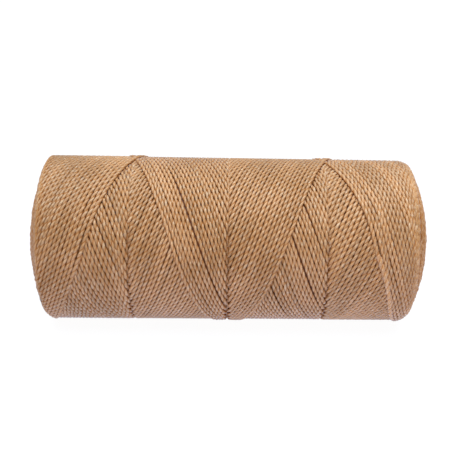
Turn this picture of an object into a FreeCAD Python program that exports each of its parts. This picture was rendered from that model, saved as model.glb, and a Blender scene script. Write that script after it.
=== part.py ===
import FreeCAD, Part
import math
import os

# A spool of waxed thread: twisted thread cross wound on a plain paper tube.
# It lies on its side. The axis runs along X, +Z is up and -Y faces the viewer.
# The origin is on the surface it lies on, below the middle of the axis.
# Millimetres and degrees.

# The thread
thread_diameter = 1.0       # as it lies, waxed and pulled tight
seat_gap = 0.15             # between the winding and the turns laid over it
crossing_gap = 0.45         # between the forward turns and the backward turns above them
least_gap_allowed = 0.4     # what the finished turns keep clear of each other

# The winding
winding_radius = 27.4       # over the outermost turns
face_reach = 64.4           # middle to the end face, beside the tube
face_dome_radius = 55.6     # the end faces bulge a little
rim_rounding = 2.2          # where the end faces turn into the side
flat_depth = 0.5            # where the turns are pressed flat by the surface below

# The paper tube, three plies of paper wound in a spiral and glued
bore_radius = 9.5
ply_thickness = 0.6
ply_names = ["tube_inner_ply", "tube_middle_ply", "tube_outer_ply"]
glue_line = 0.05            # between one ply and the next
tube_fit = 0.05             # between the tube and the thread on it

# How the outer turns run: to and fro along the tube, just short of two turns each way
strokes = 12                # whole strokes, the odd ones to +X and the even ones to -X
stroke_sweep = 690.0        # how far the tube turns in one stroke
past_rim = 3.4              # how far beyond the rim's start the straight lanes would meet
reversal_half = 22.5        # each side of a reversal, where the thread swings round
rim_step = 45.0             # the first step after a reversal, on the rounded rim
lane_steps = 6              # equal steps along the rest of a stroke
last_reversal = -97.0       # angle of the last reversal, counted up from the front
tail_sweep = 109.0          # from the last reversal to the cut end of the thread
anchor_lead = 26.0          # from the cut end to where the turns start, along the lane
anchor_bend = 1.5           # the bend where the start dips into the winding
anchor_clearance = 0.15     # around the dipped end, and below it
tangent_step = 0.01         # degrees, for the lane's direction
sample_step = 0.4           # spacing of the points that the gap is measured on

axis_height = winding_radius - flat_depth
tube_reach = face_reach     # the tube is cut flush with the end faces
tube_radius = bore_radius + len(ply_names) * ply_thickness + (len(ply_names) - 1) * glue_line
body_radius = winding_radius - 2 * thread_diameter - crossing_gap - seat_gap
forward_offset = seat_gap + thread_diameter / 2
backward_offset = forward_offset + thread_diameter + crossing_gap

# The side outline of the winding: a cylinder, a small rim arc and a domed end face
dome_centre = face_reach - math.sqrt(face_dome_radius ** 2 - (tube_radius + tube_fit) ** 2)
rim_centre_radius = body_radius - rim_rounding
rim_start = dome_centre + math.sqrt(
    (face_dome_radius - rim_rounding) ** 2 - rim_centre_radius ** 2)
rim_end_angle = math.acos(rim_centre_radius / (face_dome_radius - rim_rounding))
half_stroke = rim_start + past_rim
advance = 2 * half_stroke / stroke_sweep


def outline_point(x, radius):
    return FreeCAD.Vector(x, 0, radius)


def ring(inner, outer, reach):
    """A plain tube about the axis, from -reach to reach."""
    base = FreeCAD.Vector(-reach, 0, axis_height)
    along = FreeCAD.Vector(1, 0, 0)
    wall = Part.makeCylinder(outer, 2 * reach, base, along)
    return wall.cut(Part.makeCylinder(inner, 2 * reach, base, along))


def tube_ply(index):
    """One ply of the paper tube."""
    inner = bore_radius + index * (ply_thickness + glue_line)
    return ring(inner, inner + ply_thickness, tube_reach)


def rim_edges(side):
    """The rim arc and the domed face at one end, from the side inwards."""
    middle = rim_end_angle / 2
    rim = []
    for angle in (0, middle, rim_end_angle):
        rim.append(outline_point(side * (rim_start + rim_rounding * math.sin(angle)),
                                 rim_centre_radius + rim_rounding * math.cos(angle)))
    inner_radius = tube_radius + tube_fit
    half_radius = (rim[2].z + inner_radius) / 2
    half_reach = dome_centre + math.sqrt(face_dome_radius ** 2 - half_radius ** 2)
    inner = outline_point(side * face_reach, inner_radius)
    dome = Part.Arc(rim[2], outline_point(side * half_reach, half_radius), inner)
    return [Part.Arc(*rim).toShape(), dome.toShape()]


def winding_layers():
    """All the thread below the outer turns, as one solid with rounded ends."""
    right = rim_edges(1)
    left = rim_edges(-1)
    inner_radius = tube_radius + tube_fit
    side = Part.makeLine(outline_point(-rim_start, body_radius),
                         outline_point(rim_start, body_radius))
    inside = Part.makeLine(outline_point(face_reach, inner_radius),
                           outline_point(-face_reach, inner_radius))
    outline = Part.Wire([side] + right + [inside] + left[::-1])
    solid = Part.Face(outline).revolve(FreeCAD.Vector(0, 0, 0), FreeCAD.Vector(1, 0, 0), 360)
    solid.translate(FreeCAD.Vector(0, 0, axis_height))
    return solid


def over_winding(position, offset, angle):
    """A point above the winding, with the way out of its surface.

    position is measured along the outline from the middle, over the rim too.
    """
    side = math.copysign(1, position)
    lean = max(0.0, (abs(position) - rim_start) / rim_rounding)
    lean = min(lean, rim_end_angle)
    flat = min(abs(position), rim_start)
    x = side * (flat + (rim_rounding + offset) * math.sin(lean))
    radius = rim_centre_radius + (rim_rounding + offset) * math.cos(lean)
    turn = math.radians(angle)
    out = FreeCAD.Vector(0, -math.cos(turn), math.sin(turn))
    point = FreeCAD.Vector(x, 0, axis_height) + out * radius
    normal = FreeCAD.Vector(side * math.sin(lean), 0, 0) + out * math.cos(lean)
    return point, normal


def lane_point(stroke, sweep):
    """Where the thread's centre is, sweep degrees after the reversal before this stroke."""
    direction = 1 if stroke % 2 else -1
    offset = forward_offset if stroke % 2 else backward_offset
    position = direction * (advance * sweep - half_stroke)
    start = last_reversal - (strokes - stroke) * stroke_sweep
    return over_winding(position, offset, start + sweep)


def lane_node(stroke, sweep):
    """A point of the lane with the direction that the thread has there."""
    ahead = lane_point(stroke, sweep + tangent_step)[0]
    behind = lane_point(stroke, sweep - tangent_step)[0]
    return lane_point(stroke, sweep)[0], (ahead - behind).normalize()


def stroke_sweeps(stroke):
    """The sweeps at which one stroke's arcs meet."""
    first = reversal_half
    last = stroke_sweep - reversal_half
    step = (last - first - 2 * rim_step) / lane_steps
    sweeps = [first] + [first + rim_step + step * i for i in range(lane_steps + 1)] + [last]
    anchor_sweep = tail_sweep + anchor_lead
    if stroke == 0:
        sweeps = [anchor_sweep] + [s for s in sweeps if s > anchor_sweep + reversal_half]
    if stroke == strokes:
        sweeps = [s for s in sweeps if s < tail_sweep - reversal_half] + [tail_sweep]
    return sweeps


def tangent_arc(start, direction, end):
    """The arc that leaves start along direction and reaches end."""
    chord = end - start
    along = FreeCAD.Vector(chord).normalize()
    lean = math.acos(max(-1.0, min(1.0, direction.dot(along))))
    sideways = (direction - along * direction.dot(along)).normalize()
    crown = (start + end) * 0.5 + sideways * (chord.Length / 2 * math.tan(lean / 2))
    return Part.Arc(start, crown, end), chord.Length / (2 * math.sin(lean))


def biarc(node, next_node):
    """Two tangent arcs from one node to the next, and their radii."""
    start, start_way = node
    end, end_way = next_node
    span = end - start
    ways = start_way + end_way
    turn = 2 * (1 - start_way.dot(end_way))
    reach = span.dot(ways)
    length = (math.sqrt(reach ** 2 + turn * span.dot(span)) - reach) / turn
    joint = (start + end + (start_way - end_way) * length) * 0.5
    first, first_radius = tangent_arc(start, start_way, joint)
    second, second_radius = tangent_arc(end, end_way * -1, joint)
    back = Part.Arc(joint, second.value((second.FirstParameter + second.LastParameter) / 2), end)
    return [first, back], [first_radius, second_radius]


def thread_route():
    """The centre line of the outer turns, as lines and arcs, and the anchor's frame."""
    nodes = []
    for stroke in range(strokes + 1):
        for sweep in stroke_sweeps(stroke):
            nodes.append(lane_node(stroke, sweep))
    arcs = []
    radii = [anchor_bend]
    for node, next_node in zip(nodes, nodes[1:]):
        pair, pair_radii = biarc(node, next_node)
        arcs += pair
        radii += pair_radii
    start, way = nodes[0]
    rise = lane_point(0, tail_sweep + anchor_lead)[1]
    below = start - (way + rise) * anchor_bend
    bend = tangent_arc(below, rise, start)[0]
    foot = below - rise * thread_diameter
    end, end_way = nodes[-1]
    tip = Part.LineSegment(end, end + end_way * thread_diameter)
    route = [Part.LineSegment(foot, below), bend] + arcs + [tip]
    print("tightest bend of the thread %.2f mm" % min(radii))
    return route, foot, rise


def route_points(route):
    """Points along the route, with the length of thread before each."""
    points = []
    before = 0.0
    for piece in route:
        length = piece.length()
        count = max(1, round(length / sample_step))
        span = piece.LastParameter - piece.FirstParameter
        for i in range(count):
            point = piece.value(piece.FirstParameter + span * i / count)
            points.append((point, before + length * i / count))
        before += length
    return points


def least_gap(route):
    """The least gap between the thread's surfaces where it passes itself."""
    cell = 2 * (thread_diameter + crossing_gap)
    apart = 4 * cell
    grid = {}
    least = cell
    for point, along in route_points(route):
        key = (int(point.x // cell), int(point.y // cell), int(point.z // cell))
        for i in (-1, 0, 1):
            for j in (-1, 0, 1):
                for k in (-1, 0, 1):
                    for other, other_along in grid.get((key[0] + i, key[1] + j, key[2] + k), []):
                        if along - other_along > apart:
                            least = min(least, point.distanceToPoint(other))
        grid.setdefault(key, []).append((point, along))
    return least - thread_diameter


def outer_turns(route, foot, rise):
    """The outer turns as one unbroken thread, pressed flat where they lie on the surface."""
    path = Part.Wire([piece.toShape() for piece in route])
    section = Part.Wire([Part.makeCircle(thread_diameter / 2, foot, rise)])
    sweep = Part.BRepOffsetAPI.MakePipeShell(path)
    sweep.add(section)
    sweep.build()
    sweep.makeSolid()
    thread = sweep.shape()
    half = 2 * winding_radius
    below = Part.makeBox(4 * tube_reach, 2 * half, half,
                         FreeCAD.Vector(-2 * tube_reach, -half, -half))
    return thread.cut(below)


def anchor_hole(foot, rise):
    """The hole that the start of the outer turns dips into."""
    floor = foot - rise * tube_fit
    return Part.makeCylinder(thread_diameter / 2 + anchor_clearance, winding_radius, floor, rise)


route, foot, rise = thread_route()
gap = least_gap(route)
print("loops %.1f" % ((strokes * stroke_sweep - anchor_lead) / 360))
print("least gap of the thread to itself %.2f mm" % gap)
if gap < least_gap_allowed:
    print("the turns are too close")

parts = {name: tube_ply(index) for index, name in enumerate(ply_names)}
parts["winding_layers"] = winding_layers().cut(anchor_hole(foot, rise))
parts["outer_turns"] = outer_turns(route, foot, rise)

os.makedirs("parts", exist_ok=True)
for name, shape in parts.items():
    solid = shape.Solids[0] if len(shape.Solids) == 1 else shape
    print(name, "solids", len(shape.Solids), "volume %.1f" % solid.Volume, shape.isValid())
    solid.exportStep("parts/%s.step" % name)
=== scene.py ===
import math
import random

import bmesh
import bpy
from mathutils import Matrix, Vector


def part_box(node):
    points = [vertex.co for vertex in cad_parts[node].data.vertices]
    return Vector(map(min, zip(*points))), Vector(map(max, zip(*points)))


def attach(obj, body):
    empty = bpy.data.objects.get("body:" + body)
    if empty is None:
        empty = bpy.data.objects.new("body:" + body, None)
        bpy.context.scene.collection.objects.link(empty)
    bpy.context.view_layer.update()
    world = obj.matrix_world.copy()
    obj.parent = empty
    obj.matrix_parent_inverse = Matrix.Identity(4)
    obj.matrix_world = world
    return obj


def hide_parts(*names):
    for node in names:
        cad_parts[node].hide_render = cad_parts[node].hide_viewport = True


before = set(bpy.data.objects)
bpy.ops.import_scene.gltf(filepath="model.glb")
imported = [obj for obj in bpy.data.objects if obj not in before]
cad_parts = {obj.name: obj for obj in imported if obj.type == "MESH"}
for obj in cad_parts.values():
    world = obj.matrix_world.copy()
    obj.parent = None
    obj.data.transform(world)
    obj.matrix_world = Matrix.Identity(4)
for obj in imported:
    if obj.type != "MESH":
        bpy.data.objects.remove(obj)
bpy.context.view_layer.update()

# Paper tube
# Three plies of grey-brown kraft paper, wound in a spiral and glued, that the thread is wound on.
# They are the solids as built, so only their material is made here: each ply's own butt joint
# runs round it in a spiral, and is a thin dark line in the bore.

MM = 0.001
tube_low, tube_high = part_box("tube_outer_ply")
tube_radius = (tube_high.z - tube_low.z) / 2
axis_height = (tube_high.z + tube_low.z) / 2
ply_lead = 31.0 * MM                 # along the tube in one turn of the paper
joint_width = 0.35 * MM


def linear(hex_colour):
    """An sRGB hex colour as the linear colour that a shader takes."""
    channels = [int(hex_colour[i:i + 2], 16) / 255 for i in (1, 3, 5)]
    curve = [c / 12.92 if c <= 0.04045 else ((c + 0.055) / 1.055) ** 2.4 for c in channels]
    return (*curve, 1.0)


def add(tree, kind, feeds=None, output=0, **settings):
    """Adds a node, sets it, feeds its inputs with sockets or values, and gives one output."""
    node = tree.nodes.new(kind)
    for name, value in settings.items():
        setattr(node, name, value)
    for key, value in (feeds or {}).items():
        if isinstance(value, bpy.types.NodeSocket):
            tree.links.new(value, node.inputs[key])
        else:
            node.inputs[key].default_value = value
    return node.outputs[output] if node.outputs else node


def new_material(name):
    """An empty node material, with its tree."""
    material = bpy.data.materials.new(name)
    material.use_nodes = True
    material.node_tree.nodes.clear()
    return material, material.node_tree


def wound_kraft(start):
    """Uncoated kraft paper: a matt surface, cloudy from its short fibres, with dark flecks."""
    material, tree = new_material("spiral_wound_kraft_paper")
    place = add(tree, "ShaderNodeTexCoord", output="Object")
    parts = tree.nodes.new("ShaderNodeSeparateXYZ")
    tree.links.new(place, parts.inputs[0])
    up = add(tree, "ShaderNodeMath", {0: parts.outputs["Z"], 1: axis_height},
             operation="SUBTRACT")
    angle = add(tree, "ShaderNodeMath", {0: up, 1: parts.outputs["Y"]}, operation="ARCTAN2")
    turns = add(tree, "ShaderNodeMath", {0: angle, 1: 1 / (2 * math.pi), 2: start},
                operation="MULTIPLY_ADD")
    turns = add(tree, "ShaderNodeMath", {0: parts.outputs["X"], 1: 1 / ply_lead, 2: turns},
                operation="MULTIPLY_ADD")
    from_joint = add(tree, "ShaderNodeMath", {0: turns, 1: 0.5}, operation="PINGPONG")
    half_joint = joint_width / 2 / ply_lead
    joint = add(tree, "ShaderNodeMapRange",
                {"Value": from_joint, "From Min": half_joint, "From Max": half_joint * 2,
                 "To Min": 1.0, "To Max": 0.0})
    # Short fibres lie 2 to 3 mm apart in clouds, and the flecks are bark 0.3 mm across.
    clouds = add(tree, "ShaderNodeTexNoise", {"Vector": place, "Scale": 400.0, "Detail": 5.0})
    colour = add(tree, "ShaderNodeMix", {"Factor": clouds, "A": linear("#8f7757"),
                                         "B": linear("#bea581")}, output=2, data_type="RGBA")
    bark = add(tree, "ShaderNodeTexNoise", {"Vector": place, "Scale": 2200.0, "Detail": 1.0})
    fleck = add(tree, "ShaderNodeMapRange",
                {"Value": bark, "From Min": 0.62, "From Max": 0.72, "To Max": 0.6})
    fleck = add(tree, "ShaderNodeMath", {0: fleck, 1: joint}, operation="MAXIMUM")
    colour = add(tree, "ShaderNodeMix", {"Factor": fleck, "A": colour,
                                         "B": linear("#54412b")}, output=2, data_type="RGBA")
    bump = add(tree, "ShaderNodeBump",
               {"Height": clouds, "Strength": 0.5, "Distance": 0.06 * MM})
    surface = add(tree, "ShaderNodeBsdfPrincipled",
                  {"Base Color": colour, "Roughness": 0.85, "IOR": 1.47, "Normal": bump})
    add(tree, "ShaderNodeOutputMaterial", {"Surface": surface})
    return material


for ply, start in (("tube_inner_ply", 0.0), ("tube_middle_ply", 0.37),
                   ("tube_outer_ply", 0.71)):
    kraft = wound_kraft(start)
    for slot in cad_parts[ply].material_slots:
        slot.link = "OBJECT"
        slot.material = kraft

# Inner layers of the winding
# All the thread below the surface. It is waxed polyester thread pulled tight, so from outside it
# shows only between the turns above it, coloured dark brown as painted shade. It is turned from
# one outline.

outer_radius = 27.0 * MM             # the mean surface of the wound thread
rim_roundings = {-1: 2.0 * MM, 1: 4.2 * MM}     # the right end was wound softer
face_domes = {-1: 60.0 * MM, 1: 54.0 * MM}
face_reach = 64.4 * MM               # middle to the end face, beside the tube
ground_depth = 1.15 * MM             # from the mean surface down to the inner layers
ground_steps = 170                   # points in one ring of the outline


def dome_centre(side):
    """Where the centre of one end face's dome is, on the axis."""
    return face_reach - math.sqrt(face_domes[side] ** 2 - tube_radius ** 2)


def rim(side):
    """Where one end's rim starts, its centre's radius, and how far round the rim goes."""
    rounding = rim_roundings[side]
    centre = outer_radius - rounding
    dome = face_domes[side] - rounding
    start = dome_centre(side) + math.sqrt(dome ** 2 - centre ** 2)
    return start, centre, math.acos(centre / dome)


def waxed_thread():
    """Waxed polyester thread: dyed tan filaments, dull wax between them, worn crests, with
    painted shade in its grooves and painted light on its crests, tail and right end.
    """
    material, tree = new_material("waxed_polyester_thread")
    strand = add(tree, "ShaderNodeAttribute", output="Vector", attribute_name="strand")
    tone_and_tail_light = add(tree, "ShaderNodeAttribute", output="Fac", attribute_name="tone_and_tail_light")
    place = add(tree, "ShaderNodeTexCoord", output="Object")
    # Filaments 0.02 mm thick are too fine to show, and are drawn as streaks 0.09 mm wide and
    # 1 mm long. The dye is cloudy over 14 mm. Spots of wax 0.3 mm across are drawn as 1.2 mm.
    filaments = add(tree, "ShaderNodeMapping",
                    {"Vector": strand, "Scale": (900.0, 11000.0, 11000.0)})
    filament = add(tree, "ShaderNodeTexNoise", {"Vector": filaments, "Scale": 1.0, "Detail": 3.0})
    cloud = add(tree, "ShaderNodeTexNoise", {"Vector": place, "Scale": 70.0, "Detail": 3.0})
    patches = add(tree, "ShaderNodeMapRange",
                  {"Value": cloud, "From Min": 0.35, "From Max": 0.65})
    dye = add(tree, "ShaderNodeMix", {"Factor": patches, "A": linear("#aa7a4a"),
                                      "B": linear("#bf8d5d")}, output=2, data_type="RGBA")
    wax_spots = add(tree, "ShaderNodeTexNoise",
                    {"Vector": place, "Scale": 800.0, "Detail": 2.0})
    waxed = add(tree, "ShaderNodeMapRange",
                {"Value": wax_spots, "From Min": 0.5, "From Max": 0.75, "To Max": 0.5})
    dye = add(tree, "ShaderNodeMix", {"Factor": waxed, "A": dye, "B": linear("#d6bb98")},
              output=2, data_type="RGBA")
    # Down between turns and between the two plies the colour is darkened to a deeper brown as
    # painted shade; the crests are lighter, partly rubbed pale and partly painted light.
    rise = add(tree, "ShaderNodeAttribute", output="Fac", attribute_name="rise")
    groove_painted_shade = add(tree, "ShaderNodeMapRange",
                 {"Value": rise, "From Min": 0.5 * MM, "From Max": -0.05 * MM})
    section = tree.nodes.new("ShaderNodeSeparateXYZ")
    tree.links.new(strand, section.inputs[0])
    across = add(tree, "ShaderNodeMath", {0: section.outputs["Y"]}, operation="ABSOLUTE")
    between_plies_shade = add(tree, "ShaderNodeMapRange", {"Value": across, "From Min": 0.2 * MM,
                                               "From Max": 0.04 * MM, "To Max": 0.85})
    groove_painted_shade = add(tree, "ShaderNodeMath", {0: groove_painted_shade, 1: between_plies_shade}, operation="MAXIMUM")
    # Painted shade: the grooves and the line between the plies take the darker brown.
    dye = add(tree, "ShaderNodeMix", {"Factor": groove_painted_shade, "A": dye, "B": linear("#9e5d28")},
              output=2, data_type="RGBA")
    # Painted light: the crests are made up to 8% lighter, besides being rubbed pale.
    crest_wear_and_light = add(tree, "ShaderNodeMapRange",
                {"Value": rise, "From Min": 0.35 * MM, "From Max": 0.6 * MM, "To Min": 0.99,
                 "To Max": 1.08})
    light = add(tree, "ShaderNodeMapRange", {"Value": filament, "From Min": 0.3, "From Max": 0.7,
                                             "To Min": 0.82, "To Max": 1.16})
    # Each turn is a little lighter or darker than the one beside it, and the slack tail is made
    # lighter as painted light.
    lane = add(tree, "ShaderNodeMapRange", {"Value": tone_and_tail_light, "To Min": 0.9, "To Max": 1.08},
               clamp=False)
    # Painted shade darkens the left end, and painted light brightens the right end face.
    spot = tree.nodes.new("ShaderNodeSeparateXYZ")
    tree.links.new(place, spot.inputs[0])
    # Painted shade: the left end is made up to 13% darker.
    left_end_shade = add(tree, "ShaderNodeMapRange",
                  {"Value": spot.outputs["X"], "From Min": -60 * MM, "From Max": -30 * MM,
                   "To Min": 0.87, "To Max": 1.0})
    # Painted light: the right end face is made up to 15% lighter.
    right_end_light = add(tree, "ShaderNodeMapRange",
                {"Value": spot.outputs["X"], "From Min": 57 * MM, "From Max": 61 * MM,
                 "To Min": 1.0, "To Max": 1.15})
    shade = light
    for factor in (lane, crest_wear_and_light, left_end_shade, right_end_light):
        shade = add(tree, "ShaderNodeMath", {0: shade, 1: factor}, operation="MULTIPLY")
    colour = add(tree, "ShaderNodeVectorMath", {0: dye, "Scale": shade}, operation="SCALE")
    # Wax shines and fibres stand up on the open crests, and least where pressed over a rim.
    endward = add(tree, "ShaderNodeAttribute", output="Fac", attribute_name="endward")
    pressed = add(tree, "ShaderNodeMapRange",
                  {"Value": endward, "From Min": 0.25, "From Max": 0.9, "To Min": 1.0,
                   "To Max": 0.22})
    gloss = add(tree, "ShaderNodeMapRange",
                {"Value": groove_painted_shade, "From Max": 0.6, "To Min": 0.42, "To Max": 0.0})
    gloss = add(tree, "ShaderNodeMath", {0: gloss, 1: pressed}, operation="MULTIPLY")
    fuzz = add(tree, "ShaderNodeMapRange",
               {"Value": groove_painted_shade, "From Max": 0.6, "To Min": 1.0, "To Max": 0.0})
    fuzz = add(tree, "ShaderNodeMath", {0: fuzz, 1: pressed}, operation="MULTIPLY")
    bump = add(tree, "ShaderNodeBump",
               {"Height": filament, "Strength": 0.4, "Distance": 0.05 * MM})
    surface = add(tree, "ShaderNodeBsdfPrincipled",
                  {"Base Color": colour, "Roughness": 0.34, "IOR": 1.5,
                   "Specular IOR Level": gloss, "Sheen Weight": fuzz,
                   "Sheen Tint": linear("#f4f0ff"),
                   "Sheen Roughness": 0.3, "Normal": bump})
    add(tree, "ShaderNodeOutputMaterial", {"Surface": surface})
    return material


def thread_in_shadow():
    """The same thread further in, seen only in the deepest gaps, and coloured dark brown as
    painted shade.
    """
    material, tree = new_material("waxed_thread_inside_painted_shade")
    place = add(tree, "ShaderNodeTexCoord", output="Object")
    # Light and dark change over 1.1 mm, one thread's width.
    grain = add(tree, "ShaderNodeTexNoise", {"Vector": place, "Scale": 900.0, "Detail": 2.0})
    colour = add(tree, "ShaderNodeMix", {"Factor": grain, "A": linear("#70360f"),
                                         "B": linear("#824518")}, output=2, data_type="RGBA")
    surface = add(tree, "ShaderNodeBsdfPrincipled", {"Base Color": colour, "Roughness": 0.6})
    add(tree, "ShaderNodeOutputMaterial", {"Surface": surface})
    return material


def turned(name, outline, lower):
    """A closed solid about the spool's axis from (x, radius) points, each lowered as told."""
    mesh = bpy.data.meshes.new(name)
    work = bmesh.new()
    rings = []
    for x, radius in outline:
        ring = []
        for i in range(ground_steps):
            turn = 2 * math.pi * i / ground_steps
            arm = radius - lower(x, turn)
            ring.append(work.verts.new((x, -arm * math.cos(turn),
                                        axis_height + arm * math.sin(turn))))
        rings.append(ring)
    for ring, after in zip(rings, rings[1:] + rings[:1]):
        for i in range(ground_steps):
            j = (i + 1) % ground_steps
            work.faces.new((ring[i], ring[j], after[j], after[i]))
    bmesh.ops.recalc_face_normals(work, faces=work.faces)
    work.to_mesh(mesh)
    work.free()
    mesh.shade_smooth()
    piece = bpy.data.objects.new(name, mesh)
    bpy.context.scene.collection.objects.link(piece)
    return piece


def end_outline(side, depth, steps=8):
    """One end's outline, depth below its surface, from the side to the tube."""
    start, centre, lean_end = rim(side)
    points = []
    for i in range(steps + 1):
        lean = lean_end * i / steps
        arm = rim_roundings[side] - depth
        points.append((side * (start + arm * math.sin(lean)), centre + arm * math.cos(lean)))
    dome = face_domes[side] - depth
    outer = points[-1][1]
    inner = tube_radius + 0.05 * MM
    for i in range(1, steps + 1):
        radius = outer + (inner - outer) * i / steps
        points.append((side * (dome_centre(side) + math.sqrt(dome ** 2 - radius ** 2)), radius))
    return points


covering = 50                        # forward turns side by side in one full covering
advance = 62.16 * MM                 # along the axis in one turn
cell = advance / 2                   # between the rings where the two ways of winding meet
newest_meet = 73.0 + 25.0            # angle up from the front where the newest turns cross
thread_depth = 0.98 * MM             # how deep one layer of thread lies
covering_step = 0.42 * MM            # how far the newest turns stand above the oldest
taper = 0.005                        # the spool is a little thicker at its left end
slow_from = 34.7 * MM                # from here to its end the guide first gets ahead of its
slow_to = 62.1 * MM                  # even pace and then slows down to turn back
slow_shift = 1.2 * MM                # the most that it gets ahead
slow_loss = 0.5 * MM                 # how far it turns back before its even place
ground_gap = 0.53 * MM               # from a turn's centre down to the ground below it
ring_hollow = 0.7 * MM               # how much deeper the ground is at a ring


def laid_height(x, turn):
    """Height of the middle of the turn that lies on top at one place."""
    best = -1.0
    for direction in (-1, 1):
        for ring in range(-1, 4):
            passed = direction * (x - cell * (ring - 1))
            if not 0 <= passed < cell:
                continue
            age = turn / (2 * math.pi) - passed / advance - newest_meet / 360
            age = (age - 0.5 * ring * direction) % 1.0
            if passed <= cell * (1 - age):
                best = max(best, 1 - 2 * age - passed / cell)
    return covering_step * best - thread_depth / 2


def even_place(x):
    """Where the turn that lies at x would lie at an even pace of the guide."""
    even = x
    for attempt in range(3):
        share = min(1.0, max(0.0, (abs(even) - slow_from) / (slow_to - slow_from)))
        shift = slow_shift * math.sin(math.pi * share) - slow_loss * share ** 2
        even = x - math.copysign(shift, x)
    return even


def ground_below(x, turn):
    """How far the ground lies below the outline taken at the mean surface."""
    x = even_place(x)
    near = 0.9 * MM
    lowest = min(laid_height(x + i * near, turn + j * near / outer_radius)
                 for i, j in ((0, 0), (1, 0), (-1, 0), (0, 1), (0, -1), (0, 3), (0, -3)))
    off_ring = (x + cell / 2) % cell - cell / 2
    hollow = ring_hollow * math.exp(-(off_ring / (0.6 * MM)) ** 2)
    return ground_gap - lowest + hollow + taper * x


def inside_lowered(x, turn):
    """The same for the side, and nothing for the ends."""
    on_side = -rim(-1)[0] < x < rim(1)[0]
    return ground_below(x, turn) - ground_depth if on_side else 0.0


side_outline = [(x * MM, outer_radius - ground_depth) for x in range(-60, 57)]
inside = turned("winding_inside", end_outline(-1, ground_depth)[::-1] + side_outline
                + end_outline(1, ground_depth), inside_lowered)
inside.data.materials.append(thread_in_shadow())
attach(inside, "root")
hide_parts("winding_layers")

# Outer turns of thread
# One two-ply waxed polyester thread, Z twisted, wound to and fro a little short of two turns
# each way. Each turn lies beside the one laid four turns before it, and dips under the younger
# ones where they cross. Wax and tension hold it, and its end lies free at the front right.

lane_pitch = advance / covering      # along the axis, from one turn to its neighbour
slope = advance / (2 * math.pi * outer_radius)      # along the axis for one mm round it
tuck = 0.5 * MM                      # half the axial length over which a turn dips under others
hidden_reach = 1.3 * MM              # how far a turn goes on below the others
sample = 5.0 * MM                    # along the axis, between a lane's middle points
end_reach = 2 * cell - lane_pitch / 4   # from the middle to where the two ways would meet
reversal_rounding = 2.0 * MM         # round the axis, over which a turnaround bends
reversal_reach = 6.0 * MM            # round the axis, from a reversal back under the others
# Five lines where the winding stands open: way, ring, age, from angle, to angle, mm open.
open_lines = ((-1, 1, 0.134, 83, -40, 0.42), (-1, 2, 0.63, 25, -27, 0.4),
              (-1, 2, 0.415, -10, -42, 0.36), (-1, 2, 0.75, 55, 20, 0.26),
              (1, 0, 0.58, 20, -4, 0.3))
# Where the newest turns were pushed along the spool: way, ring, from angle, to angle, mm.
drifts = ((-1, 3, 74, 20, 0.6), (-1, 3, 30, -75, -1.2), (-1, 3, -38, -85, -1.0),
          (-1, 1, 25, -60, -0.6), (1, -1, 30, -75, 1.1))
# Between these angles the rings where the two ways meet gape: each an angle, and its fading.
holes_from = (28, 12)
holes_to = (-75, 15)
hole_width = 0.34 * MM
ply_radius = 0.485 * MM
ply_offset = 0.19 * MM               # from the thread's middle to a ply's
phases = {1: 1.93, -1: 0.5}          # ply crests that a turn is ahead of the one before it
crest_strays = {1: 0.16, -1: 0.5}    # and how unevenly
twist_length = 4.9 * MM              # along the thread in one whole twist
ring_step = 0.55 * MM                # along the thread between the rings of its mesh
profile_points = 14
reversal_end = 8.0 * MM              # round the axis, from a reversal on to its lane
route_step = 1.0 * MM                # along the axis, between the newest turns' points
ring_room = 0.8 * MM                 # along the axis, from a ring to the points beside it
end_room = 4.0 * MM                  # along the axis, from an end to where a turn starts back
tail_steps = 120
tail_lifts = ((0.24, 14, 6), (0.14, 42, 4))     # mm up, mm round it past which, over how many


def smooth(value):
    """0 below -1, 1 above 1, and a smooth step between."""
    share = min(1.0, max(0.0, (value + 1) / 2))
    return share * share * (3 - 2 * share)


def lane_height(age, passed, top, covered):
    """Height of a lane's centre above the mean surface, passed being counted from its ring."""
    worn = 1 - 2 * age - passed / cell + covered
    return covering_step * worn - thread_depth * (1.5 - top)


def lane_side(direction, ring, lane, turn):
    """How far a lane strays along the axis from its even place."""
    noise = random.Random(lane * 2 + (direction > 0)).uniform(-1, 1)
    wave = math.sin(3 * turn + lane * 0.35) + math.sin(7.3 * turn - lane * 0.6 + direction)
    strayed = 0.07 * MM * noise + 0.05 * MM * wave
    angle = (math.degrees(turn) + 180) % 360 - 180
    for way, gap_ring, age, high, low, width in open_lines:
        if (way, gap_ring) == (direction, ring):
            lanes_off = lane + 0.5 - age * covering
            share = math.exp(-(lanes_off / 4) ** 2) * math.copysign(0.5, lanes_off)
            window = smooth((high - angle) / 6) * smooth((angle - low) / 6)
            strayed -= direction * width * MM * share * window
    for way, drift_ring, high, low, shift in drifts:
        if (way, drift_ring) == (direction, ring):
            window = smooth((high - angle) / 18) * smooth((angle - low) / 18)
            strayed += shift * MM * math.exp(-lane / 12) * window
    return strayed


def opening(turn):
    """How far beyond its ring a lane comes up: more on the lower front, where holes show."""
    angle = (math.degrees(turn) + 180) % 360 - 180
    high, high_fade = holes_from
    low, low_fade = holes_to
    return hole_width * smooth((high - angle) / high_fade) * smooth((angle - low) / low_fade)


def lane_passes(first, last):
    """Places along a lane where its route has a point: close together where it dips."""
    step = tuck * 0.45
    near = [first + step * i for i in range(11)]
    far = [last - step * i for i in range(9, -1, -1)]
    if near[-1] >= far[0]:
        count = max(2, round((last - first) / step))
        return [first + (last - first) * i / count for i in range(count + 1)]
    count = max(1, round((far[0] - near[-1]) / sample))
    middle = [near[-1] + (far[0] - near[-1]) * i / count for i in range(1, count)]
    return near + middle + far


def lane_turn(direction, ring, age):
    """The angle at which a lane of this age leaves its ring."""
    return math.radians(newest_meet) + math.pi * ring * direction + 2 * math.pi * age


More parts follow.
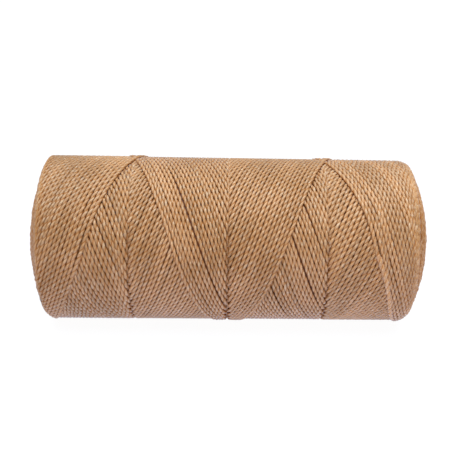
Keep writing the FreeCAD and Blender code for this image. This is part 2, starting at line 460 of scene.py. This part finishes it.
def lane_point(direction, ring, lane, age, passed, top, covered):
    """One point of a lane on the unrolled surface: along, round, and above it."""
    turn = lane_turn(direction, ring, age) + passed / advance * 2 * math.pi
    along = cell * (ring - 1) + direction * passed + lane_side(direction, ring, lane, turn)
    height = lane_height(age, passed, top, covered) - taper * along
    return along, turn * outer_radius, height


def lane_age(direction, lane):
    """A lane's age in full coverings: 0 for the newest forward turn."""
    return lane / covering if direction > 0 else (lane + 0.5) / covering


def lane_reach(direction, lane):
    """How far along the axis from its ring a lane stays on top."""
    return cell * (1 - lane_age(direction, lane)) - (0 if direction > 0 else lane_pitch / 4)


def flat_lane(direction, ring, lane):
    """One lane from its ring until younger turns cover it."""
    age = lane_age(direction, lane)
    reach = lane_reach(direction, lane)
    last = min(reach + hidden_reach, cell - ring_room)
    late = opening(lane_turn(direction, ring, age))
    points = []
    for passed in lane_passes(-hidden_reach, last):
        covered = smooth((passed - reach) / tuck)
        top = smooth((passed - late) / tuck) * (1 - covered)
        points.append(lane_point(direction, ring, lane, age, passed, top, covered))
    return points


def reversal(direction, lane, back, ahead):
    """The turnaround that a lane leaves from, at its end of the spool.

    It runs from back before the turnaround, beneath the younger turns, to ahead after it.
    """
    age = lane_age(direction, lane)
    ring = -1 if direction > 0 else 3
    chance = random.Random(1000 + lane * 2 + (direction > 0))
    stray = chance.uniform(-0.3, 0.3) * MM
    start = lane_turn(direction, ring, age) + math.pi / 2 / covering
    points = []
    count = round((back + ahead) / (0.5 * MM))
    for i in range(count + 1):
        past = -back + (back + ahead) * i / count
        inward = slope * math.hypot(past, reversal_rounding)
        inward += stray * math.exp(-(past / (5 * MM)) ** 2)
        top = smooth((past + 1.7 * MM) / (1.5 * MM)) if lane > 0 else 1.0
        turn = start + past / outer_radius
        along = direction * (inward - end_reach) + lane_side(direction, ring, lane, turn)
        height = lane_height(age, inward, top, 0) - taper * along
        points.append((along, turn * outer_radius, height))
    return points


def end_lane(direction, lane):
    """A lane from its turnaround at the end of the spool until younger turns cover it."""
    reach = lane_reach(direction, lane)
    points = reversal(direction, lane, reversal_reach, reversal_end)
    age = lane_age(direction, lane)
    ring = -1 if direction > 0 else 3
    first = slope * reversal_end + lane_pitch / 4 + 0.5 * MM
    last = reach + hidden_reach
    if last < first:
        return [p for p in points if abs(p[0]) >= end_reach - last or p[1] < points[12][1]]
    count = max(1, round((last - first) / (tuck * 0.5))) if reach < first else None
    steps = [first + (last - first) * i / count for i in range(count + 1)] if count else None
    for passed in steps or [p for p in lane_passes(0, last) if p > first]:
        covered = smooth((passed - reach) / tuck)
        points.append(lane_point(direction, ring, lane, age, passed, 1 - covered, covered))
    return points


def newest_lane(direction, ring, age):
    """A part of the newest turns, from one ring to the next, that lies on all the others."""
    first = slope * reversal_end + 1.0 * MM if ring in (-1, 3) else ring_room
    at_end = ring == (2 if direction > 0 else 0)
    last = cell - (end_room if at_end else ring_room)
    count = round((last - first) / route_step)
    passes = [first + (last - first) * i / count for i in range(count + 1)]
    return [lane_point(direction, ring, 0, age, passed, 1.0, 0) for passed in passes]


def newest_turns():
    """The last turns laid: back to the left end, forward to the right end, and the tail."""
    points = reversal(-1, 0, reversal_reach, reversal_end)
    age = lane_age(-1, 0)
    under = cell - lane_pitch / 4
    for ring in (3, 2, 1, 0):
        points += newest_lane(-1, ring, age)
        if ring > 0:
            for passed in (under - 0.3 * MM, under, under + 0.3 * MM):
                points.append(lane_point(-1, ring, 0, age, passed, 0.15, 0.5))
    points += reversal(1, 0, 5.0 * MM, reversal_end)
    for ring in (-1, 0, 1, 2):
        points += newest_lane(1, ring, 0.0)
    # The tail turns back at the right end, rises off the others and wanders over them.
    age = -0.5 / covering
    start = lane_turn(-1, 3, age) + math.pi / 2 / covering
    for i in range(tail_steps + 1):
        past = -5.0 * MM + i * 0.43 * MM
        inward = slope * math.hypot(past, reversal_rounding)
        lift = sum(up * MM * smooth((past - after * MM) / (over * MM))
                   for up, after, over in tail_lifts)
        nearer = 1.5 * MM * smooth((past - 29.5 * MM) / (12 * MM))
        off_rim = smooth((past - 7 * MM) / (6 * MM))
        back_on = smooth((past - 24 * MM) / (16 * MM))
        nearer -= 1.9 * MM * off_rim * (1 - back_on)
        turn = start + past / outer_radius
        along = end_reach - inward + nearer
        along += (even_place(along) - along) * smooth((past - 13 * MM) / (6 * MM))
        height = lane_height(age, inward, 1.0, 0) + lift - taper * along
        points.append((along, turn * outer_radius, height))
    return points


def lanes_mesh(name, routes):
    """The routes as loose edges, for the nodes to wrap round the spool."""
    mesh = bpy.data.meshes.new(name)
    points = []
    edges = []
    for route in routes:
        edges += [(len(points) + i, len(points) + i + 1) for i in range(len(route) - 1)]
        points += route
    mesh.from_pydata(points, edges, [])
    piece = bpy.data.objects.new(name, mesh)
    bpy.context.scene.collection.objects.link(piece)
    return piece


def winding_tree():
    """Wraps flat routes round the spool and sweeps a twisted two-ply thread along them."""
    tree = bpy.data.node_groups.new("wind_thread", "GeometryNodeTree")
    tree.interface.new_socket("Routes", in_out="INPUT", socket_type="NodeSocketGeometry")
    for name, value in (("Radius", outer_radius), ("Axis Height", axis_height),
                        ("Left Rim Start", rim(-1)[0]), ("Left Rim Rounding", rim_roundings[-1]),
                        ("Left Rim End", rim(-1)[2]), ("Right Rim Start", rim(1)[0]),
                        ("Right Rim Rounding", rim_roundings[1]), ("Right Rim End", rim(1)[2]),
                        ("Twist Length", twist_length), ("Ring Step", ring_step),
                        ("Ply Radius", ply_radius), ("Ply Offset", ply_offset),
                        ("End Lean", 0.0), ("Crest Step", 0.37), ("Crest Stray", 0.16),
                        ("Tail Swell", 0.0), ("Slow From", slow_from), ("Slow To", slow_to),
                        ("Slow Shift", slow_shift), ("Slow Loss", slow_loss),
                        ("Swell From", 28 * MM), ("Slow Swell", 0.12), ("Worn Share", 0.75)):
        socket = tree.interface.new_socket(name, in_out="INPUT", socket_type="NodeSocketFloat")
        socket.default_value = value
    tree.interface.new_socket("Seed", in_out="INPUT", socket_type="NodeSocketInt")
    tree.interface.new_socket("Material", in_out="INPUT", socket_type="NodeSocketMaterial")
    tree.interface.new_socket("Thread", in_out="OUTPUT", socket_type="NodeSocketGeometry")
    given = tree.nodes.new("NodeGroupInput").outputs

    curves = add(tree, "GeometryNodeMeshToCurve", {"Mesh": given["Routes"]})
    even = add(tree, "GeometryNodeResampleCurve",
               {"Curve": curves, "Length": given["Ring Step"]}, mode="LENGTH")

    # Towards an end the guide gets ahead of its even pace, and then slows down. The turns it
    # lays wider there are softer, and swell to fill the gaps.
    place = tree.nodes.new("ShaderNodeSeparateXYZ")
    tree.links.new(add(tree, "GeometryNodeInputPosition"), place.inputs[0])
    side = add(tree, "ShaderNodeMath", {0: place.outputs["X"]}, operation="SIGN")
    right = add(tree, "ShaderNodeMath", {0: place.outputs["X"], 1: 0.0},
                operation="GREATER_THAN")
    off_middle = add(tree, "ShaderNodeMath", {0: place.outputs["X"]}, operation="ABSOLUTE")
    share = add(tree, "ShaderNodeMapRange", {"Value": off_middle, "From Min": given["Slow From"],
                                             "From Max": given["Slow To"]})
    ahead = add(tree, "ShaderNodeMath", {0: share, 1: math.pi}, operation="MULTIPLY")
    ahead = add(tree, "ShaderNodeMath", {0: ahead}, operation="SINE")
    early = add(tree, "ShaderNodeMapRange",
                {"Value": off_middle, "From Min": given["Swell From"],
                 "From Max": given["Slow To"]})
    early = add(tree, "ShaderNodeMath", {0: early, 1: 0.5}, operation="POWER")
    early = add(tree, "ShaderNodeMath", {0: early, 1: math.pi}, operation="MULTIPLY")
    early = add(tree, "ShaderNodeMath", {0: early}, operation="SINE")
    spread = add(tree, "ShaderNodeMath", {0: early, 1: given["Slow Swell"], 2: 1.0},
                 operation="MULTIPLY_ADD")
    off_middle = add(tree, "ShaderNodeMath", {0: ahead, 1: given["Slow Shift"], 2: off_middle},
                     operation="MULTIPLY_ADD")
    lost = add(tree, "ShaderNodeMath", {0: share, 1: 2.0}, operation="POWER")
    lost = add(tree, "ShaderNodeMath", {0: lost, 1: given["Slow Loss"]}, operation="MULTIPLY")
    off_middle = add(tree, "ShaderNodeMath", {0: off_middle, 1: lost}, operation="SUBTRACT")

    # The left rim is tighter than the right one, but worn rounder at its lower front.
    round_turn = add(tree, "ShaderNodeMath", {0: place.outputs["Y"], 1: given["Radius"]},
                     operation="DIVIDE")
    off_worn = add(tree, "ShaderNodeMath", {0: round_turn, 1: math.radians(60)},
                   operation="ADD")
    off_worn = add(tree, "ShaderNodeMath", {0: off_worn}, operation="COSINE")
    worn = add(tree, "ShaderNodeMapRange",
               {"Value": off_worn, "From Min": 0.68, "From Max": 0.82,
                "To Max": given["Worn Share"]}, interpolation_type="SMOOTHSTEP")
    rounder = add(tree, "ShaderNodeMath", {0: right, 1: worn}, operation="MAXIMUM")
    rim_start, rounding, lean_end = (
        add(tree, "ShaderNodeMix", {"Factor": rounder, "A": given["Left Rim " + part],
                                    "B": given["Right Rim " + part]})
        for part in ("Start", "Rounding", "End"))

    # A route is straight along the side, bends over the rim and goes on down the end face.
    past = add(tree, "ShaderNodeMath", {0: off_middle, 1: rim_start}, operation="SUBTRACT")
    past = add(tree, "ShaderNodeMath", {0: past, 1: 0.0}, operation="MAXIMUM")
    lean = add(tree, "ShaderNodeMath", {0: past, 1: rounding}, operation="DIVIDE")
    lean = add(tree, "ShaderNodeMath", {0: lean, 1: lean_end}, operation="MINIMUM")
    on_rim = add(tree, "ShaderNodeMath", {0: lean, 1: rounding}, operation="MULTIPLY")
    on_face = add(tree, "ShaderNodeMath", {0: past, 1: on_rim}, operation="SUBTRACT")
    flat = add(tree, "ShaderNodeMath", {0: off_middle, 1: rim_start}, operation="MINIMUM")
    arm = add(tree, "ShaderNodeMath", {0: rounding, 1: place.outputs["Z"]}, operation="ADD")
    sine = add(tree, "ShaderNodeMath", {0: lean}, operation="SINE")
    cosine = add(tree, "ShaderNodeMath", {0: lean}, operation="COSINE")
    along = add(tree, "ShaderNodeMath", {0: arm, 1: sine, 2: flat}, operation="MULTIPLY_ADD")
    along = add(tree, "ShaderNodeMath", {0: on_face, 1: cosine, 2: along},
                operation="MULTIPLY_ADD")
    along = add(tree, "ShaderNodeMath", {0: along, 1: side}, operation="MULTIPLY")
    inner = add(tree, "ShaderNodeMath", {0: given["Radius"], 1: rounding},
                operation="SUBTRACT")
    radius = add(tree, "ShaderNodeMath", {0: arm, 1: cosine, 2: inner},
                 operation="MULTIPLY_ADD")
    fall = add(tree, "ShaderNodeMath", {0: on_face, 1: sine}, operation="MULTIPLY")
    radius = add(tree, "ShaderNodeMath", {0: fall, 1: radius}, operation="SUBTRACT")
    turn = add(tree, "ShaderNodeMath", {0: round_turn, 1: -1.0}, operation="MULTIPLY")
    arm_end = add(tree, "ShaderNodeCombineXYZ", {"X": along, "Y": radius})
    turned_end = add(tree, "ShaderNodeVectorRotate", {"Vector": arm_end, "Angle": turn},
                     rotation_type="X_AXIS")
    lift = add(tree, "ShaderNodeCombineXYZ", {"Z": given["Axis Height"]})
    wrapped = add(tree, "ShaderNodeVectorMath", {0: turned_end, 1: lift}, operation="ADD")

    # Outward is away from the axis on the side, and leans over towards the end at a rim.
    bend_start = add(tree, "ShaderNodeMath", {0: rim_start, 1: 1.5 * MM},
                     operation="SUBTRACT")
    bend_end = add(tree, "ShaderNodeMath", {0: rounding, 1: lean_end, 2: rim_start},
                   operation="MULTIPLY_ADD")
    facing = add(tree, "ShaderNodeMapRange", {"Value": off_middle, "From Min": bend_start,
                                              "From Max": bend_end, "To Max": lean_end})
    facing = add(tree, "ShaderNodeMath", {0: facing, 1: given["End Lean"]}, operation="ADD")
    leaning = add(tree, "ShaderNodeMath", {0: facing}, operation="SINE")
    endwards = add(tree, "ShaderNodeMath", {0: leaning, 1: side}, operation="MULTIPLY")
    sidewards = add(tree, "ShaderNodeMath", {0: facing}, operation="COSINE")
    sidewards = add(tree, "ShaderNodeMath", {0: sidewards, 1: -1.0}, operation="MULTIPLY")
    outward = add(tree, "ShaderNodeCombineXYZ", {"X": endwards, "Y": sidewards})
    outward = add(tree, "ShaderNodeVectorRotate", {"Vector": outward, "Angle": turn},
                  rotation_type="X_AXIS")
    routed = even
    for name, value, kind in (("outward", outward, "FLOAT_VECTOR"), ("endward", leaning, "FLOAT"),
                              ("spread", spread, "FLOAT")):
        routed = add(tree, "GeometryNodeStoreNamedAttribute",
                     {"Geometry": routed, "Name": name, "Value": value},
                     data_type=kind, domain="POINT")
    wound = add(tree, "GeometryNodeSetPosition", {"Geometry": routed, "Position": wrapped})

    # The twist starts each route one step further on than its neighbour, and wanders a little.
    length = add(tree, "GeometryNodeSplineParameter", output="Length")
    which = add(tree, "GeometryNodeCurveOfPoint", output="Curve Index")
    chance = add(tree, "FunctionNodeRandomValue", {"ID": which, "Seed": given["Seed"]},
                 output=1, data_type="FLOAT")
    turns = add(tree, "ShaderNodeMath", {0: length, 1: given["Twist Length"]},
                operation="DIVIDE")
    crests = add(tree, "ShaderNodeMath", {0: which, 1: given["Crest Step"], 2: given["Seed"]},
                 operation="MULTIPLY_ADD")
    wander = add(tree, "ShaderNodeTexNoise", {"Vector": add(tree, "ShaderNodeCombineXYZ", {
        "X": which, "Y": given["Seed"]}), "Scale": 0.21, "Detail": 1.0})
    crests = add(tree, "ShaderNodeMath", {0: wander, 1: 1.6, 2: crests},
                 operation="MULTIPLY_ADD")
    crests = add(tree, "ShaderNodeMath", {0: chance, 1: given["Crest Stray"], 2: crests},
                 operation="MULTIPLY_ADD")
    turns = add(tree, "ShaderNodeMath", {0: crests, 1: 0.5, 2: turns},
                operation="MULTIPLY_ADD")
    tilt = add(tree, "ShaderNodeMath", {0: turns, 1: 2 * math.pi}, operation="MULTIPLY")
    tilted = add(tree, "GeometryNodeSetCurveTilt", {"Curve": wound, "Tilt": tilt})

    # The free tail of the thread is slacker and thicker, and its colour is made lighter as
    # painted light.
    whole_run = add(tree, "GeometryNodeSplineLength", output="Length")
    to_end = add(tree, "ShaderNodeMath", {0: whole_run, 1: length}, operation="SUBTRACT")
    slack = add(tree, "ShaderNodeMapRange",
                {"Value": to_end, "From Min": 36 * MM, "From Max": 22 * MM})
    slack = add(tree, "ShaderNodeMath", {0: slack, 1: given["Tail Swell"]},
                operation="MULTIPLY")
    tone_and_tail_light = add(tree, "ShaderNodeMath", {0: slack, 1: 4.5, 2: chance}, operation="MULTIPLY_ADD")
    kept = tilted
    for name, value, kind in (("tone_and_tail_light", tone_and_tail_light, "FLOAT"), ("run", length, "FLOAT"),
                              ("slack", slack, "FLOAT"),
                              ("middle", add(tree, "GeometryNodeInputPosition"), "FLOAT_VECTOR")):
        kept = add(tree, "GeometryNodeStoreNamedAttribute",
                   {"Geometry": kept, "Name": name, "Value": value},
                   data_type=kind, domain="POINT")

    # The section is the outline of two round plies that overlap side by side.
    loop = add(tree, "GeometryNodeCurvePrimitiveCircle",
               {"Resolution": profile_points, "Radius": 1.0}, mode="RADIUS")
    spot = tree.nodes.new("ShaderNodeSeparateXYZ")
    tree.links.new(add(tree, "GeometryNodeInputPosition"), spot.inputs[0])
    across = add(tree, "ShaderNodeMath", {0: spot.outputs["X"]}, operation="ABSOLUTE")
    near = add(tree, "ShaderNodeMath", {0: across, 1: given["Ply Offset"]},
               operation="MULTIPLY")
    high = add(tree, "ShaderNodeMath", {0: spot.outputs["Y"], 1: given["Ply Offset"]},
               operation="MULTIPLY")
    high = add(tree, "ShaderNodeMath", {0: high, 1: 2.0}, operation="POWER")
    whole = add(tree, "ShaderNodeMath", {0: given["Ply Radius"], 1: 2.0}, operation="POWER")
    rest = add(tree, "ShaderNodeMath", {0: whole, 1: high}, operation="SUBTRACT")
    rest = add(tree, "ShaderNodeMath", {0: rest}, operation="SQRT")
    size = add(tree, "ShaderNodeMath", {0: near, 1: rest}, operation="ADD")
    lobed = add(tree, "ShaderNodeVectorMath",
                {0: add(tree, "GeometryNodeInputPosition"), "Scale": size},
                operation="SCALE")
    section = add(tree, "GeometryNodeSetPosition", {"Geometry": loop, "Position": lobed})
    section = add(tree, "GeometryNodeStoreNamedAttribute",
                  {"Geometry": section, "Name": "section",
                   "Value": add(tree, "GeometryNodeInputPosition")},
                  data_type="FLOAT_VECTOR", domain="POINT")
    spread = add(tree, "GeometryNodeInputNamedAttribute", {"Name": "spread"},
                 data_type="FLOAT")
    swell = add(tree, "ShaderNodeMath", {0: slack, 1: spread}, operation="ADD")
    thread = add(tree, "GeometryNodeCurveToMesh",
                 {"Curve": kept, "Profile Curve": section, "Scale": swell, "Fill Caps": True})

    # The material reads a place within the thread and the height above its middle.
    run = add(tree, "GeometryNodeInputNamedAttribute", {"Name": "run"}, data_type="FLOAT")
    cut = tree.nodes.new("ShaderNodeSeparateXYZ")
    tree.links.new(add(tree, "GeometryNodeInputNamedAttribute", {"Name": "section"},
                       data_type="FLOAT_VECTOR"), cut.inputs[0])
    strand = add(tree, "ShaderNodeCombineXYZ",
                 {"X": run, "Y": cut.outputs["X"], "Z": cut.outputs["Y"]})
    thread = add(tree, "GeometryNodeStoreNamedAttribute",
                 {"Geometry": thread, "Name": "strand", "Value": strand},
                 data_type="FLOAT_VECTOR", domain="POINT")
    middle, outward = (add(tree, "GeometryNodeInputNamedAttribute", {"Name": name},
                           data_type="FLOAT_VECTOR") for name in ("middle", "outward"))
    out = add(tree, "ShaderNodeVectorMath",
              {0: add(tree, "GeometryNodeInputPosition"), 1: middle}, operation="SUBTRACT")
    rise = add(tree, "ShaderNodeVectorMath", {0: out, 1: outward}, output=1,
               operation="DOT_PRODUCT")
    # The slack tail counts as raised, so it loses the painted groove shade and takes the full
    # painted crest light.
    loose = add(tree, "GeometryNodeInputNamedAttribute", {"Name": "slack"}, data_type="FLOAT")
    rise = add(tree, "ShaderNodeMath", {0: loose, 1: 2 * MM, 2: rise},
               operation="MULTIPLY_ADD")
    thread = add(tree, "GeometryNodeStoreNamedAttribute",
                 {"Geometry": thread, "Name": "rise", "Value": rise},
                 data_type="FLOAT", domain="POINT")
    for name in ("run", "section", "middle", "outward", "slack", "spread"):
        thread = add(tree, "GeometryNodeRemoveAttribute", {"Geometry": thread, "Name": name})

    # What rests on the table is pressed flat against it.
    corner = tree.nodes.new("ShaderNodeSeparateXYZ")
    tree.links.new(add(tree, "GeometryNodeInputPosition"), corner.inputs[0])
    floor = add(tree, "ShaderNodeMath", {0: corner.outputs["Z"], 1: 0.0}, operation="MAXIMUM")
    pressed = add(tree, "ShaderNodeCombineXYZ",
                  {"X": corner.outputs["X"], "Y": corner.outputs["Y"], "Z": floor})
    thread = add(tree, "GeometryNodeSetPosition", {"Geometry": thread, "Position": pressed})
    thread = add(tree, "GeometryNodeSetShadeSmooth", {0: thread})
    thread = add(tree, "GeometryNodeRealizeInstances", {"Geometry": thread})
    thread = add(tree, "GeometryNodeSetMaterial",
                 {"Geometry": thread, "Material": given["Material"]})
    result = tree.nodes.new("NodeGroupOutput")
    tree.links.new(thread, result.inputs["Thread"])
    return tree


def wind(name, routes, tree, material, seed, **sizes):
    """A piece of thread that follows the routes, as a plain mesh on the spool."""
    flat = lanes_mesh(name + "_routes", routes)
    modifier = flat.modifiers.new("winding", "NODES")
    modifier.node_group = tree
    sockets = {item.name: item.identifier for item in tree.interface.items_tree
               if item.in_out == "INPUT"}
    for words, value in dict(sizes, Material=material, Seed=seed).items():
        modifier[sockets[words.replace("_", " ")]] = value
    graph = bpy.context.evaluated_depsgraph_get()
    mesh = bpy.data.meshes.new_from_object(flat.evaluated_get(graph))
    mesh.name = name
    bpy.data.objects.remove(flat)
    piece = bpy.data.objects.new(name, mesh)
    bpy.context.scene.collection.objects.link(piece)
    return piece


thread_material = waxed_thread()
winding_nodes = winding_tree()
turns = []
for way, direction, first_ring, seed in (("forward", 1, -1, 0), ("back", -1, 0, 10)):
    for i in range(4):
        ring = first_ring + i
        if ring in (-1, 3):
            routes = [end_lane(direction, lane) for lane in range(1, covering)]
        else:
            routes = [flat_lane(direction, ring, lane) for lane in range(1, covering)]
        turns.append(wind("%s_turns_%d" % (way, i + 1), routes, winding_nodes,
                          thread_material, seed + i, Crest_Step=phases[direction],
                          Crest_Stray=crest_strays[direction]))
turns.append(wind("newest_turns", [newest_turns()], winding_nodes, thread_material, 20,
                  Tail_Swell=0.2))
for piece in turns:
    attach(piece, "root")
    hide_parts("outer_turns")

# Turnarounds on the end faces
# Where the thread of each covering below the outer one turns back. They stand in rows round
# the tube, each row half hidden by the next one out, and together make the domed end faces.

row_depth = 2.0 * MM                 # one covering, forward and back
first_row = tube_radius + 0.85 * MM
rows = 7
row_rounding = 1.8 * MM              # round the axis, over which a turnaround bends
row_reach = 5.0 * MM                 # round the axis, each way from it until it dips under
for side in (-1, 1):
    routes = []
    for row in range(rows):
        chance = random.Random(row * 2 + (side > 0) + 50)
        radius = first_row + row_depth * row
        row_slope = advance / (2 * math.pi * radius)
        face = dome_centre(side) + math.sqrt(face_domes[side] ** 2 - radius ** 2) - 0.5 * MM
        begin = chance.uniform(0, 2 * math.pi)
        for lane in range(covering):
            turn = begin + 2 * math.pi * lane / covering + chance.uniform(-0.015, 0.015)
            stray = chance.uniform(-0.15, 0.1) * MM
            route = []
            for i in range(15):
                past = row_reach * (i / 7 - 1)
                inward = row_slope * (math.hypot(past, row_rounding) - row_rounding) - stray
                lift = 0.45 * MM * math.tanh(past / (1.5 * MM)) + radius - outer_radius
                route.append((side * (face - inward),
                              (turn + past / radius) * outer_radius, lift))
            routes.append(route)
    name = "end_turns_right" if side > 0 else "end_turns_left"
    piece = wind(name, routes, winding_nodes, thread_material, 30 + side,
                 Left_Rim_Start=1.0, Right_Rim_Start=1.0, Ring_Step=0.9 * MM,
                 End_Lean=1.25, Slow_Shift=0.0, Slow_Loss=0.0, Slow_Swell=0.0,
                 Ply_Offset=0.12 * MM, Ply_Radius=0.53 * MM)
    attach(piece, "root")
    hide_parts("winding_layers")

# Studio
# A plain white floor, one large soft lamp above, even light from all round, and the
# photograph's camera. To the camera and in gloss the floor and backdrop are plain white.


def backdrop_rays(tree):
    """1 for the rays that the camera, gloss and glass see the backdrop with, and else 0."""
    rays = tree.nodes.new("ShaderNodeLightPath")
    seen = add(tree, "ShaderNodeMath", {0: rays.outputs["Is Camera Ray"],
                                        1: rays.outputs["Is Glossy Ray"]}, operation="MAXIMUM")
    return add(tree, "ShaderNodeMath", {0: seen, 1: rays.outputs["Is Transmission Ray"]},
               operation="MAXIMUM")


floor_mesh = bpy.data.meshes.new("floor")
half_floor = 3.0
floor_mesh.from_pydata([(-half_floor, -half_floor, 0), (half_floor, -half_floor, 0),
                        (half_floor, half_floor, 0), (-half_floor, half_floor, 0)],
                       [], [(0, 1, 2, 3)])
floor = bpy.data.objects.new("floor", floor_mesh)
bpy.context.scene.collection.objects.link(floor)
paper, tree = new_material("white_paper_floor")
# Matt white paper: plain white to the eye, with a faint soft shadow below the spool.
matt = add(tree, "ShaderNodeBsdfDiffuse", {"Color": linear("#e6e4f4")})
# The floor throws light up on the spool: bluer close to it, and warmer further off.
place = add(tree, "ShaderNodeTexCoord", output="Object")
squeezed = add(tree, "ShaderNodeMapping", {"Vector": place, "Scale": (0.6, 1.0, 1.0)})
from_spool = add(tree, "ShaderNodeVectorMath", {0: squeezed}, output=1, operation="LENGTH")
far_off = add(tree, "ShaderNodeMapRange",
              {"Value": from_spool, "From Min": 0.05, "From Max": 0.12})
near_bounce = add(tree, "ShaderNodeEmission", {"Color": linear("#b8cfff"), "Strength": 3.2})
far_bounce = add(tree, "ShaderNodeEmission", {"Color": linear("#fdeaf7"), "Strength": 1.4})
bounce = add(tree, "ShaderNodeMixShader", {"Fac": far_off, 1: near_bounce, 2: far_bounce})
lit = add(tree, "ShaderNodeMixShader", {"Fac": 0.45, 1: matt, 2: bounce})
glow = add(tree, "ShaderNodeEmission", {"Color": linear("#ffffff"), "Strength": 1.06})
plain = add(tree, "ShaderNodeMixShader", {"Fac": 0.9, 1: matt, 2: glow})
both = add(tree, "ShaderNodeMixShader", {"Fac": backdrop_rays(tree), 1: lit, 2: plain})
add(tree, "ShaderNodeOutputMaterial", {"Surface": both})
floor_mesh.materials.append(paper)

world = bpy.data.worlds.new("studio")
bpy.context.scene.world = world
world.use_nodes = True
tree = world.node_tree
tree.nodes.clear()
# The light from all round is warm from the sides and cool from overhead.
way = tree.nodes.new("ShaderNodeSeparateXYZ")
tree.links.new(add(tree, "ShaderNodeTexCoord", output="Generated"), way.inputs[0])
high = add(tree, "ShaderNodeMapRange", {"Value": way.outputs["Z"], "From Max": 0.9})
tint = add(tree, "ShaderNodeMix", {"Factor": high, "A": linear("#d6c3ad"),
                                   "B": linear("#cee8ff")}, output=2, data_type="RGBA")
soft = add(tree, "ShaderNodeBackground", {"Color": tint, "Strength": 0.71})
white = add(tree, "ShaderNodeBackground", {"Color": (1, 1, 1, 1), "Strength": 1.0})
sky = add(tree, "ShaderNodeMixShader", {"Fac": backdrop_rays(tree), 1: soft, 2: white})
add(tree, "ShaderNodeOutputWorld", {"Surface": sky})

lamp = bpy.data.lights.new("key", "AREA")
lamp.size = 0.9
lamp.energy = 9.5
lamp.color = (0.96, 1.1, 1.23)
soft_box = bpy.data.objects.new("key", lamp)
soft_box.location = (0.0, -0.12, 0.85)
aim = Vector((0, 0, axis_height)) - soft_box.location
soft_box.rotation_euler = aim.to_track_quat("-Z", "Y").to_euler()
bpy.context.scene.collection.objects.link(soft_box)

photo_size = 453.0                   # pixels each way
camera_distance = 11 * outer_radius  # from how the ends' ellipses narrow towards the edges
focal_pixels = 878.0
camera_rise = math.radians(25.0)
camera_roll = math.radians(0.65)
spool_right = 1.8                    # pixels from the picture's middle to the spool's
spool_down = 11.8
camera_data = bpy.data.cameras.new("photo_camera")
camera_data.sensor_width = 36.0
camera_data.lens = camera_data.sensor_width * focal_pixels / photo_size
camera_data.clip_start = 0.01
camera_data.shift_x = -spool_right / photo_size
camera_data.shift_y = spool_down / photo_size
camera = bpy.data.objects.new("photo_camera", camera_data)
sight = Vector((0, math.cos(camera_rise), -math.sin(camera_rise)))
camera.location = Vector((0, 0, axis_height)) - sight * camera_distance
look = sight.to_track_quat("-Z", "Y").to_matrix()
turned_look = Matrix.Rotation(camera_roll, 3, look @ Vector((0, 0, 1))) @ look
camera.rotation_euler = turned_look.to_euler()
bpy.context.scene.collection.objects.link(camera)
bpy.context.scene.camera = camera
bpy.context.scene.view_settings.view_transform = "Standard"
